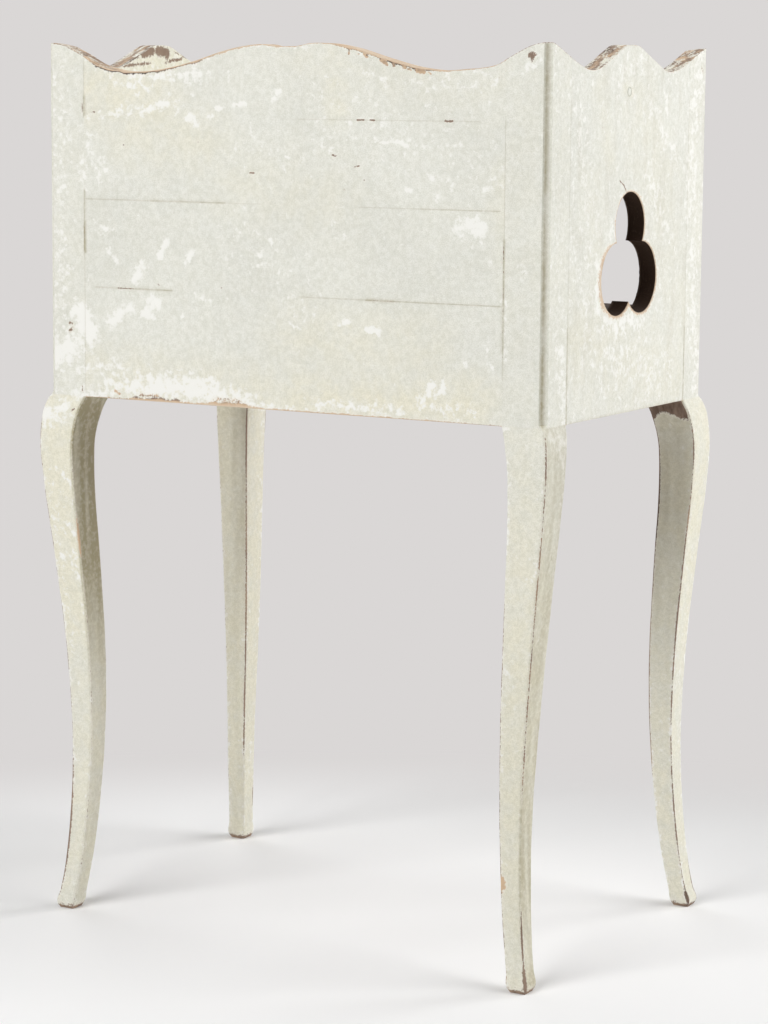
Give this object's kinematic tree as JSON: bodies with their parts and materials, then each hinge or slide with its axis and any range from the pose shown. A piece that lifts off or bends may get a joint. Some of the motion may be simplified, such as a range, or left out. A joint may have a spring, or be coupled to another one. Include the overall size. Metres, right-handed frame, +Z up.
{
  "type": "nightstand",
  "caption": "Painted bedside table on cabriole legs, with a tray top inside a scalloped gallery, an open niche pierced by trefoils at the sides, and a drawer under its floor.",
  "frame": {"origin": "on the floor, under the centre of the overall box", "axes": "+Z up from the feet; the front with the drawer faces -Y and the boarded back faces +Y; +X is to the right seen from the front"},
  "size_m": [0.4684, 0.3198, 0.72],
  "materials": {
    "painted_wood": "chalky pale grey-green paint, worn to brown wood along the edges",
    "bare_wood": "unpainted dark aged wood",
    "drawer_wood": "unpainted mid-brown wood",
    "peg_wood": "unpainted light wood"
  },
  "bodies": {
    "carcass": {"leg_front_left": "painted_wood", "leg_front_right": "painted_wood", "leg_back_left": "painted_wood", "leg_back_right": "painted_wood", "back_board_bottom": "painted_wood", "back_board_lower": "painted_wood", "back_board_upper": "painted_wood", "back_board_top": "painted_wood", "side_panel_left": "painted_wood", "side_panel_right": "painted_wood", "tray_top": "painted_wood", "niche_floor": "bare_wood", "tray_cleat_left": "bare_wood", "tray_cleat_right": "bare_wood", "tray_cleat_back": "bare_wood", "floor_cleat_left": "bare_wood", "floor_cleat_right": "bare_wood", "front_top_rail": "painted_wood", "front_bottom_rail": "painted_wood", "peg_tray_left": "peg_wood", "peg_tray_right": "peg_wood", "peg_top_rail_left": "peg_wood", "peg_top_rail_right": "peg_wood", "peg_bottom_rail_left": "peg_wood", "peg_bottom_rail_right": "peg_wood", "drawer_runner_left": "bare_wood", "drawer_runner_right": "bare_wood", "drawer_guide_left": "bare_wood", "drawer_guide_right": "bare_wood", "drawer_stop_left": "bare_wood", "drawer_stop_right": "bare_wood"},
    "drawer": {"drawer_front": "painted_wood", "drawer_side_left": "drawer_wood", "drawer_side_right": "drawer_wood", "drawer_back": "drawer_wood", "drawer_bottom": "drawer_wood", "drawer_knob": "bare_wood"}
  },
  "joints": [
    {"name": "drawer_slide", "type": "slide", "parent": "carcass", "child": "drawer", "axis": [0, -1, 0], "range_m": [0, 0.17]}
  ]
}
